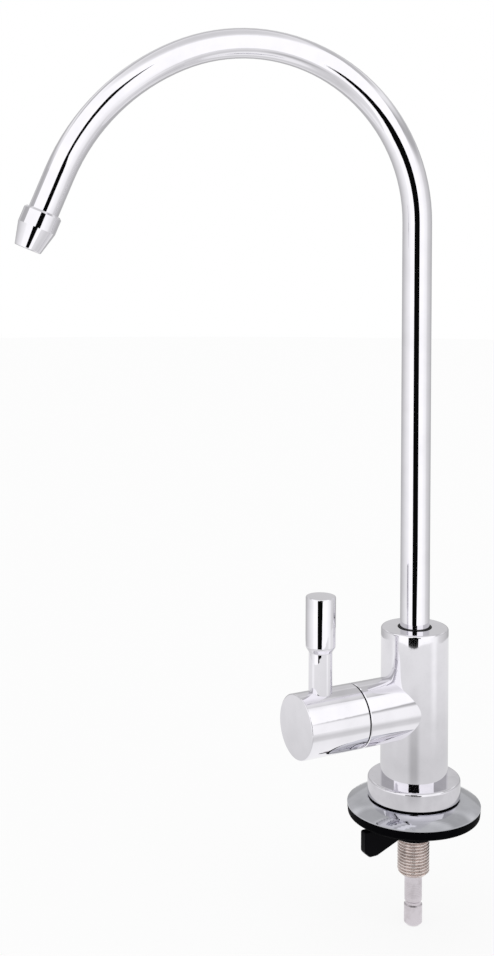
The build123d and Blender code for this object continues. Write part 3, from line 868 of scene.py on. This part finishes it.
@dataclass
class Body:
    """Body forging, base ring, cover plate and gaskets, in millimetres."""

    rim_radius: float = 23.2
    flat_radius: float = 16.45
    hole_radius: float = 5.855
    sheet: float = 0.8
    plate_top: float = 6.15
    rim_top: float = 3.7
    bow_rise: float = 0.35
    gasket_top: float = 3.3
    gasket_hole: float = 6.3
    gasket_foot: float = 22.9
    gasket_edge: float = 0.9
    seal_inner: float = 12.5
    seal_outer: float = 15.9
    columns: int = 144

    def build_plate(self) -> None:
        """Build the pressed cover plate, bowed down to its rim."""
        middle_radius = (self.flat_radius + self.rim_radius) / 2
        middle_height = (self.plate_top + self.rim_top) / 2 + self.bow_rise
        half = self.sheet / 2
        under = self.plate_top - self.sheet
        upper = bow(
            (self.flat_radius, self.plate_top),
            (middle_radius, middle_height),
            (self.rim_radius, self.rim_top),
        )
        lower = bow(
            (self.rim_radius - self.sheet, self.gasket_top),
            (middle_radius - half, middle_height - self.sheet),
            (self.flat_radius - half, under),
        )
        hole = ((self.hole_radius, under, 0.0), (self.hole_radius, self.plate_top, 0.0))
        ring = rounded((*hole, *upper, (self.rim_radius, self.gasket_top, 0.0), *lower))
        fit(lathe("cover_plate", lambda _: ring, self.columns), Carrier.FAUCET, PLATE_CHROME, "escutcheon")

    def build_gasket(self) -> None:
        """Build the gasket, which stands out to the plate's rim."""
        ring = rounded(
            (
                (self.gasket_hole, self.gasket_top, 0.0),
                (self.gasket_hole, 0.0, 0.0),
                (self.gasket_foot, 0.0, self.gasket_edge),
                (self.rim_radius, self.gasket_top, 0.0),
            )
        )
        fit(lathe("plate_gasket", lambda _: ring, self.columns), Carrier.FAUCET, RUBBER, "deck_gasket")

    def build_seal(self) -> None:
        """Build the thin seal between the plate and the base ring."""
        ring_low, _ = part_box("base_ring")
        heights = (self.plate_top, ring_low.z / MILLIMETRE)
        ring = ring_section((self.seal_inner, self.seal_outer), heights)
        fit(lathe("collar_seal", lambda _: ring, self.columns), Carrier.FAUCET, RUBBER, "ring_seal")

    def build(self) -> None:
        """Build the plate, its gasket and the seal, and dress the rest."""
        self.build_plate()
        self.build_gasket()
        self.build_seal()
        dress(BODY_CHROME, "faucet_body")
        dress(RING_CHROME, "base_ring")


@dataclass
class Valve:
    """Cartridge with its discs, and the handle that turns them, in millimetres."""

    neck_radius: float = 4.0
    neck_top: float = 62.1
    neck_edge: float = 0.6
    grip_radius: float = 5.1
    grip_start: float = 63.8
    grip_foot_edge: float = 1.2
    grip_top_edge: float = 0.5
    columns: int = 96

    def build_lever(self) -> None:
        """Build the pin lever: a neck and a thicker grip, turned in one."""
        low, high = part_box("lever")
        seat = low.z / MILLIMETRE
        top = high.z / MILLIMETRE
        pin = rounded(
            (
                (0.0, seat, 0.0),
                (self.neck_radius, seat, 0.0),
                (self.neck_radius, self.neck_top, self.neck_edge),
                (self.grip_radius, self.grip_start, self.grip_foot_edge),
                (self.grip_radius, top, self.grip_top_edge),
                (0.0, top, 0.0),
            )
        )
        centre = ((low.x + high.x) / 2, (low.y + high.y) / 2)
        fit(lathe("pin_lever", lambda _: pin, self.columns, centre), Carrier.HANDLE, HANDLE_CHROME, "lever")

    def build(self) -> None:
        """Build the lever and dress the valve's pieces."""
        self.build_lever()
        dress(BRASS, "cartridge_body", "spindle")
        dress(CERAMIC, "fixed_disc", "moving_disc")
        dress(RUBBER, "seat_seal", "cartridge_o_ring", "spindle_o_ring")
        dress(SPRING, "spindle_circlip")
        dress(PLASTIC, "hub_glide_ring")
        dress(HANDLE_CHROME, "handle_hub")


@dataclass
class Shank:
    """Threaded shank with a real helical thread, and the turned inlet tail, in metres.

    A flank of the thread falls in part straight and in part with an eased start and end.
    """

    pitch: float = 1.0583 * MILLIMETRE
    thread_depth: float = 0.6 * MILLIMETRE
    crest_share: float = 0.22
    straight_share: float = 0.35
    rows_per_turn: int = 10
    columns: int = 72
    smooth_angle: float = 50.0
    chamfer: float = 1.0 * MILLIMETRE
    bore_radius: float = 2.2 * MILLIMETRE
    socket_radius: float = 3.07 * MILLIMETRE
    socket_depth: float = 6.0 * MILLIMETRE

    def thread_radius(self, crest: float, turn: float) -> float:
        """Radius of the thread's surface.

        Args:
            crest: Radius over the crests.
            turn: Place across the thread, as a share of a pitch.

        Returns:
            The radius there.
        """
        away = abs(turn - floor(turn) - 0.5) * 2
        flank = min(1.0, max(0.0, (away - self.crest_share) / (1 - 2 * self.crest_share)))
        eased = flank * flank * (3 - 2 * flank)
        fall = self.straight_share * flank + (1 - self.straight_share) * eased
        return crest - self.thread_depth * fall

    def outline(self, heights: Sequence[float], crest: float, angle: float) -> list[Point]:
        """Outline at one angle: the thread outside and the stepped bore inside.

        Args:
            heights: Heights of the thread's points, from the shank's foot to its top.
            crest: Radius over the crests.
            angle: Angle about the axis, in radians.

        Returns:
            Points as (radius, height).
        """
        foot, top = heights[0], heights[-1]
        outer = []
        for height in heights:
            turn = height / self.pitch - angle / (2 * pi)
            end = min(height - foot, top - height)
            cap = crest - max(0.0, self.chamfer - end)
            outer.append((min(cap, self.thread_radius(crest, turn)), height))
        inner = [
            (self.bore_radius, top),
            (self.bore_radius, foot + self.socket_depth),
            (self.socket_radius, foot + self.socket_depth),
            (self.socket_radius, foot),
        ]
        return outer + inner

    def build_shank(self) -> None:
        """Build the shank with its thread."""
        low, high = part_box("threaded_shank")
        length = high.z - low.z
        steps = int(length / self.pitch * self.rows_per_turn)
        heights = [low.z + length * step / steps for step in range(steps + 1)]
        piece = lathe("shank_thread", lambda angle: self.outline(heights, high.x, angle), self.columns)
        fit(piece, Carrier.FAUCET, SHANK_NICKEL, "threaded_shank", self.smooth_angle)

    def build(self) -> None:
        """Build the shank and dress the tail."""
        self.build_shank()
        dress(STEM_NICKEL, "inlet_stem")


@dataclass
class Clamp:
    """Lock washer and wing nut under the deck, in millimetres."""

    bore: float = 5.605
    hub_radius: float = 7.3
    hub_foot: float = -7.6
    hub_edge: float = 0.3
    shoulder: float = 9.8
    shoulder_drop: float = 0.1
    shoulder_edge: float = 0.3
    slope_run: float = 0.6
    slope_edge: float = 0.4
    wing_top: float = -2.2
    wing_edge: float = 21.1
    wing_foot: float = -11.01
    tip_edge: float = 0.6
    toe_height: float = 1.8
    toe_start: float = 16.1
    toe_edge: float = 1.6
    half_thickness: float = 1.5
    wing_angle: float = 16.0
    bevel: float = 0.4
    bevel_steps: int = 3
    bevel_angle: float = 60.0
    smooth_angle: float = 50.0
    columns: int = 72

    def build_wing(self, shape: bmesh.types.BMesh, side: float, hub_top: float) -> None:
        """Add one wing.

        Args:
            shape: The mesh that it is added to.
            side: One for the wing under the valve branch, minus one for the other.
            hub_top: Height of the hub's top.
        """
        root = (self.bore + self.hub_radius) / 2
        shoulder_top = hub_top - self.shoulder_drop
        outline = rounded(
            (
                (root, shoulder_top, 0.0),
                (self.shoulder, shoulder_top, self.shoulder_edge),
                (self.shoulder + self.slope_run, self.wing_top, self.slope_edge),
                (self.wing_edge, self.wing_top, self.tip_edge),
                (self.wing_edge, self.wing_foot + self.toe_height, self.toe_edge),
                (self.wing_edge - self.toe_height, self.wing_foot, self.toe_edge),
                (self.toe_start, self.wing_foot, self.toe_edge),
                (self.hub_radius, self.hub_foot, 0.0),
                (root, self.hub_foot, 0.0),
            ),
            braced=False,
        )
        turn = radians(self.wing_angle)
        along = Vector((-cos(turn), -sin(turn), 0.0)) * side
        across = along.cross(UPRIGHT) * (self.half_thickness * MILLIMETRE)
        near, far = (
            [shape.verts.new(along * out + shift + UPRIGHT * up) for out, up in outline]
            for shift in (-across, across)
        )
        shape.faces.new(near)
        shape.faces.new(far)
        for index in range(len(outline)):
            following = (index + 1) % len(outline)
            shape.faces.new((near[index], near[following], far[following], far[index]))

    def build_nut(self) -> None:
        """Build the moulded nut: a round hub and two wings that stand up past it."""
        _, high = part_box("wing_nut")
        hub_top = high.z / MILLIMETRE
        radii = (self.bore, self.hub_radius)
        ring = ring_section(radii, (self.hub_foot, hub_top), self.hub_edge, self.hub_edge)
        piece = lathe("wing_nut_moulding", lambda _: ring, self.columns)
        shape = bmesh.new()
        shape.from_mesh(piece.data)
        for side in (1.0, -1.0):
            self.build_wing(shape, side, hub_top)
        bmesh.ops.recalc_face_normals(shape, faces=shape.faces)
        shape.to_mesh(piece.data)
        shape.free()
        edges = piece.modifiers.new("moulded_edges", "BEVEL")
        edges.width = self.bevel * MILLIMETRE
        edges.segments = self.bevel_steps
        edges.limit_method = "ANGLE"
        edges.angle_limit = radians(self.bevel_angle)
        fit(piece, Carrier.WING_NUT, PLASTIC, "wing_nut", self.smooth_angle)

    def build(self) -> None:
        """Build the nut and dress the washer."""
        self.build_nut()
        dress(ZINC, "lock_washer")


def set_stage(name: str, corners: list[Vector], seen: Seen, surface: Callable[[Graph], Shade]) -> None:
    """Add a flat piece of the studio, which isn't part of the tap.

    Args:
        name: Name of the piece and of its material.
        corners: Corners of its outline, in metres.
        seen: Where it shows.
        surface: Function that builds its surface in the material's graph.
    """
    made = bpy.data.materials.new(name)
    made.use_nodes = True
    graph = Graph(made.node_tree)
    graph.node("ShaderNodeOutputMaterial", None, {0: surface(graph)})
    mesh = bpy.data.meshes.new(name)
    mesh.from_pydata(corners, [], [tuple(range(len(corners)))])
    mesh.materials.append(made)
    piece = bpy.data.objects.new(name, mesh)
    bpy.context.scene.collection.objects.link(piece)
    for ray in seen.value:
        setattr(piece, ray, False)
    piece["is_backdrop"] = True
    log.info("studio: %s", name)


def disc(radius: float, level: float, steps: int = 96) -> list[Vector]:
    """Corners of a level disc round the tap's axis.

    Args:
        radius: Its radius, in metres.
        level: Its height, in metres.
        steps: Number of corners.

    Returns:
        The corners, in metres.
    """
    turns = [2 * pi * step / steps for step in range(steps)]
    return [Vector((radius * cos(turn), radius * sin(turn), level)) for turn in turns]


@dataclass(frozen=True)
class View:
    """Where the photograph is taken from: lengths in metres, angles in degrees, the lens in millimetres."""

    stand_off: float = 486.65 * MILLIMETRE
    eye_height: float = 205.88 * MILLIMETRE
    azimuth: float = 19.63
    yaw: float = -7.01
    pitch: float = 0.27
    roll: float = 0.32
    lens: float = 52.13
    shift: float = -0.26
    nearest: float = 10.0 * MILLIMETRE
    farthest: float = 50.0

    @property
    def towards(self) -> Vector:
        """Level direction from the tap to the camera."""
        return Vector((-sin(radians(self.azimuth)), -cos(radians(self.azimuth)), 0.0))

    @property
    def across(self) -> Vector:
        """Level direction to the camera's right."""
        return Vector((cos(radians(self.azimuth)), -sin(radians(self.azimuth)), 0.0))

    def build(self) -> None:
        """Place the camera at the photograph's angle."""
        yaw, pitch, roll = radians(self.yaw), radians(self.pitch), radians(self.roll)
        level = self.across * sin(yaw) - self.towards * cos(yaw)
        forward = level * cos(pitch) - UPRIGHT * sin(pitch)
        right = forward.cross(UPRIGHT).normalized()
        upward = right.cross(forward)
        rolled_right = right * cos(roll) + upward * sin(roll)
        rolled_up = upward * cos(roll) - right * sin(roll)
        turn = Matrix((rolled_right, rolled_up, -forward)).transposed()
        place = self.towards * self.stand_off + UPRIGHT * self.eye_height
        data = bpy.data.cameras.new("camera")
        data.lens = self.lens
        data.shift_y = self.shift
        data.clip_start = self.nearest
        data.clip_end = self.farthest
        camera = bpy.data.objects.new("camera", data)
        camera.matrix_world = Matrix.Translation(place) @ turn.to_4x4()
        bpy.context.scene.collection.objects.link(camera)
        bpy.context.scene.camera = camera
        log.info("camera: lens %.1f mm, shift %.2f", self.lens, self.shift)


@dataclass(frozen=True)
class Panel:
    """A dark upright panel of the studio, which polished metal shows as a dark band, in millimetres.

    Distances are from the tap's axis towards the camera, and sides are to the camera's right.
    """

    name: str
    distance: float
    outline: tuple[Point, ...]
    light: float = 0.003

    def build(self, view: View) -> None:
        """Build the panel.

        Args:
            view: Where the camera stands.
        """
        corners = [
            view.towards * (self.distance * MILLIMETRE)
            + view.across * (side * MILLIMETRE)
            + UPRIGHT * (height * MILLIMETRE)
            for side, height in self.outline
        ]
        set_stage(self.name, corners, Seen.ONLY_IN_METAL, lambda graph: graph.glow(WHITE, self.light))


@dataclass(frozen=True)
class Floor:
    """Pale floor just under the tail's end, in metres."""

    radius: float = 2.5
    gap: float = 0.4 * MILLIMETRE
    glow_share: float = 0.85

    def surface(self, graph: Graph) -> Shade:
        """White floor that looks nearly even to the camera, and still keeps a soft shadow.

        Args:
            graph: The material's graph.

        Returns:
            The surface.
        """
        plain = graph.out(graph.node("ShaderNodeBsdfDiffuse", None, {"Color": WHITE}))
        return graph.blend(graph.camera_ray() * self.glow_share, plain, graph.glow(WHITE, 1.0))

    def build(self, foot: float) -> None:
        """Lay the floor this gap below the tap's lowest point."""
        set_stage("floor", disc(self.radius, foot - self.gap), Seen.NOT_IN_METAL, self.surface)


@dataclass(frozen=True)
class Table:
    """Near part of the table that polished metal shows, a little greyer than the tent.

    Distances are in metres from the tap's axis, and sides in degrees away from the camera. The table is
    darker in a dip before the camera and brighter in a glow at both sides.
    """

    radius: float = 345.0 * MILLIMETRE
    gap: float = 0.2 * MILLIMETRE
    shades: tuple[Point, ...] = (
        (0.0, 0.86),
        (0.085, 0.82),
        (0.11, 0.64),
        (0.16, 0.6),
        (0.25, 0.7),
        (0.345, 0.75),
    )
    dip: float = 0.3
    dip_side: Range = (5.0, 24.0)
    dip_band: Band = Band((0.115, 0.155), (0.17, 0.29))
    glow: float = 0.97
    glow_share: float = 0.6
    glow_sides: Band = Band((50.0, 68.0), (70.0, 86.0))
    glow_start: Range = (0.16, 0.3)

    def shade(self, graph: Graph, view: View) -> Shade:
        """Brightness of the table, which follows the distance and the side.

        Args:
            graph: The material's graph.
            view: Where the camera stands.

        Returns:
            The colour.
        """
        x, y, _ = graph.axes(graph.place())
        distance = (x * x + y * y).root()
        place = graph.vector(x, y, 0.0)
        side = abs(graph.along(place, view.across).angle(graph.along(place, view.towards)))
        dip = (1.0 - side.rise(*self.dip_side)) * self.dip_band.mask(distance)
        glow = self.glow_sides.mask(side) * distance.rise(*self.glow_start)
        shade = graph.mix(dip * self.dip, distance.ramp(self.shades), BLACK)
        return graph.mix(glow * self.glow_share, shade, grey(self.glow))

    def build(self, foot: float, view: View, light: float) -> None:
        """Lay the table.

        Args:
            foot: Height of the tap's lowest point.
            view: Where the camera stands.
            light: Strength of the studio's light.
        """
        set_stage(
            "near_table",
            disc(self.radius, foot - self.gap),
            Seen.ONLY_IN_METAL,
            lambda graph: graph.glow(self.shade(graph, view), light),
        )


@dataclass(frozen=True)
class Zone:
    """A zone of the tent: the elevations that it covers, and its brightness."""

    band: Band
    light: float


@dataclass(frozen=True)
class Tent:
    """White tent round the tap, with darker openings, in degrees from the camera and above the horizon.

    Walls are pairs of azimuth and brightness, ceiling and ground pairs of elevation and brightness. The
    edge says how far round the tent's front reaches at each elevation, as pairs of elevation and azimuth.
    """

    walls: tuple[Point, ...] = (
        (-180, 0.45),
        (-140, 0.45),
        (-110, 0.6),
        (-80, 0.78),
        (-56, 0.9),
        (-50, 1.0),
        (50, 1.0),
        (62, 0.93),
        (78, 0.86),
        (92, 0.66),
        (125, 0.53),
        (150, 0.42),
        (180, 0.45),
    )
    ceiling: tuple[Point, ...] = ((14, 0.7), (32, 0.8), (55, 0.84), (70, 0.64), (90, 0.6))
    ground: tuple[Point, ...] = ((-90, 0.66), (-66, 0.61), (-50, 0.61))
    wall_top: Range = (10.0, 20.0)
    wall_foot: Range = (-58.0, -48.0)
    edge: tuple[Point, ...] = ((0, 62), (16, 66), (30, 78), (50, 104))
    edge_softness: float = 1.5
    back_side: Range = (140.0, 160.0)
    front: Zone = Zone(Band((4.0, 10.0), (50.0, 60.0)), 1.0)
    low_sides: Zone = Zone(Band((12.0, 20.0), (22.0, 34.0)), 0.42)
    high_back: Zone = Zone(Band((34.0, 42.0), (54.0, 62.0)), 0.5)
    back: Zone = Zone(Band((10.0, 16.0), (32.0, 42.0)), 0.56)

    def shade(self, graph: Graph, view: View) -> Shade:
        """Brightness of the tent, which follows the direction.

        Args:
            graph: The world's graph.
            view: Where the camera stands.

        Returns:
            The colour.
        """
        direction = graph.out(graph.node("ShaderNodeTexCoord"), "Generated")
        side = graph.along(direction, view.across)
        front = graph.along(direction, view.towards)
        _, _, height = graph.axes(direction)
        azimuth = side.angle(front)
        elevation = height.angle((side * side + front * front).root())
        beyond = (abs(azimuth) - elevation.curve(self.edge)).rise(-self.edge_softness, self.edge_softness)
        behind = abs(azimuth).rise(*self.back_side)
        above = elevation.rise(*self.wall_top)
        shade = graph.mix(above, azimuth.ramp(self.walls), elevation.ramp(self.ceiling))
        zones = (
            (self.low_sides, beyond * (1.0 - behind)),
            (self.back, behind),
            (self.high_back, beyond),
            (self.front, 1.0 - beyond),
        )
        for zone, share in zones:
            shade = graph.mix(share * zone.band.mask(elevation), shade, grey(zone.light))
        return graph.mix(1.0 - elevation.rise(*self.wall_foot), shade, elevation.ramp(self.ground))

    def build(self, view: View, light: float) -> None:
        """Put the tent round the tap, and show plain white behind it.

        Args:
            view: Where the camera stands.
            light: Strength of the studio's light.
        """
        world = bpy.data.worlds.new("surroundings")
        world.use_nodes = True
        bpy.context.scene.world = world
        graph = Graph(world.node_tree)
        tent = graph.node("ShaderNodeBackground", None, {"Color": self.shade(graph, view), "Strength": light})
        plain = graph.node("ShaderNodeBackground", None, {"Color": WHITE, "Strength": 1.0})
        surface = graph.blend(graph.camera_ray(), graph.out(tent), graph.out(plain))
        graph.node("ShaderNodeOutputWorld", None, {0: surface})
        log.info("studio: %s", world.name)


@dataclass(frozen=True)
class Studio:
    """Floor, table and tent with one light, the dark panels that polished metal shows, and the camera."""

    view: View = View()
    light: float = 1.15
    floor: Floor = Floor()
    table: Table = Table()
    tent: Tent = Tent()
    panels: tuple[Panel, ...] = (
        Panel(
            "front_panel_near",
            486.0,
            ((-178, 95), (178, 95), (178, 205), (70, 262), (70, 460), (-50, 460), (-50, 262), (-178, 205)),
        ),
        Panel("front_panel_far", 900.0, ((-335, -235), (150, -235), (324, -130), (324, 120), (-335, 120))),
    )

    def build(self) -> None:
        """Build the floor, the surroundings, the dark panels and the camera."""
        low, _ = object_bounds()
        self.floor.build(low.z)
        self.table.build(low.z, self.view, self.light)
        self.tent.build(self.view, self.light)
        for panel in self.panels:
            panel.build(self.view)
        self.view.build()
        bpy.context.scene.view_settings.view_transform = "Standard"


def main() -> None:
    """Build and dress every sub-assembly, then the studio."""
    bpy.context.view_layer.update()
    for part in (Spout(), Body(), Valve(), Shank(), Clamp(), Studio()):
        part.build()


if __name__ == "__main__":
    main()
